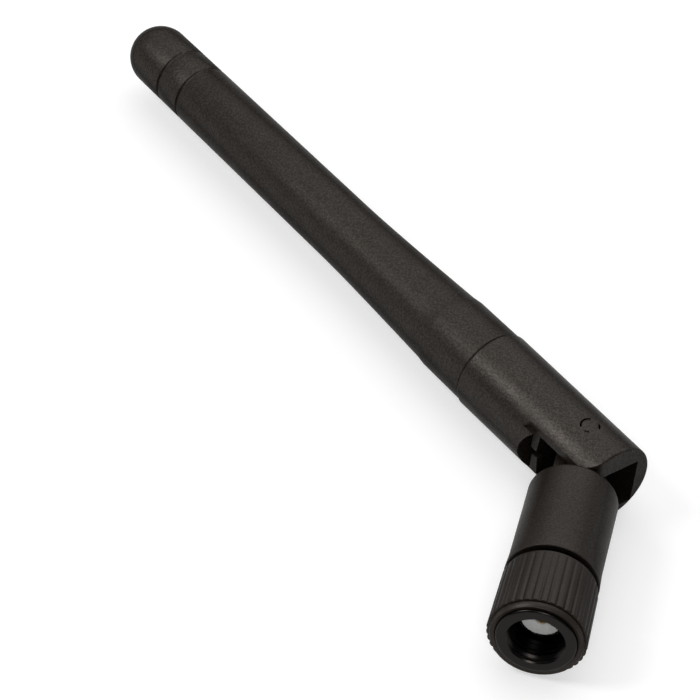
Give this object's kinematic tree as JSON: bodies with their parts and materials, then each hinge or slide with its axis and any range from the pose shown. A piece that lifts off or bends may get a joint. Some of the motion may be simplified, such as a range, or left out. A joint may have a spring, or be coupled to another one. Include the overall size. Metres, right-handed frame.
{
  "type": "hinged whip antenna",
  "caption": "Short black whip antenna with a tapered radome, a tilt hinge, a swivel barrel and a knurled coaxial coupling nut.",
  "frame": {"origin": "centre of the first turn of the coupling thread, inside the nut's mouth, on the plug's axis", "axes": "-Y out of the plug's mouth, +Y along the swivel barrel to the hinge, +Z along the hinge pin, the whip folded towards -X"},
  "size_m": [0.0672, 0.0794, 0.01],
  "materials": {
    "radome_plastic": "satin with a fine grain, slightly soft",
    "housing_plastic": "satin with a fine grain",
    "pin_plastic": "smooth satin",
    "grip_plastic": "satin, fluted",
    "black_nickel": "turned brass, black nickel plated",
    "nickel": "turned brass, nickel plated",
    "gold": "turned brass, gold plated",
    "spring_bronze": "bare spring bronze",
    "tinned_copper": "tinned copper",
    "silvered_copper": "silver-plated copper",
    "bare_brass": "drawn tube, bare",
    "white_dielectric": "smooth white fluoroplastic",
    "cable_jacket": "smooth black jacket",
    "bead_plastic": "natural moulded plastic",
    "white_foam": "closed-cell foam"
  },
  "bodies": {
    "barrel": {"swivel_barrel": "housing_plastic", "connector_body": "nickel", "insulator": "white_dielectric", "centre_contact": "gold", "retaining_ring": "spring_bronze", "crimp_ferrule": "tinned_copper", "coax_jacket": "cable_jacket", "coax_braid": "tinned_copper", "coax_dielectric": "white_dielectric", "coax_wire": "silvered_copper"},
    "whip": {"radome": "radome_plastic", "yoke": "housing_plastic", "hinge_pin": "pin_plastic", "choke_sleeve": "bare_brass", "sleeve_cap": "bare_brass", "choke_bead": "bead_plastic", "feed_bead": "bead_plastic", "radiator_tube": "bare_brass", "tip_disc": "white_foam"},
    "nut": {"coupling_nut": "black_nickel", "nut_grip": "grip_plastic"}
  },
  "joints": [
    {"name": "fold", "type": "hinge", "parent": "barrel", "child": "whip", "pos_m": [0, 0.02655, 0], "axis": [0, 0, 1], "range_deg": [-49.4, 40.6], "deforming": ["coax_jacket", "coax_braid", "coax_dielectric", "coax_wire"]},
    {"name": "nut_spin", "type": "hinge", "parent": "barrel", "child": "nut", "pos_m": [0, 0, 0], "axis": [0, 1, 0], "continuous": true}
  ]
}
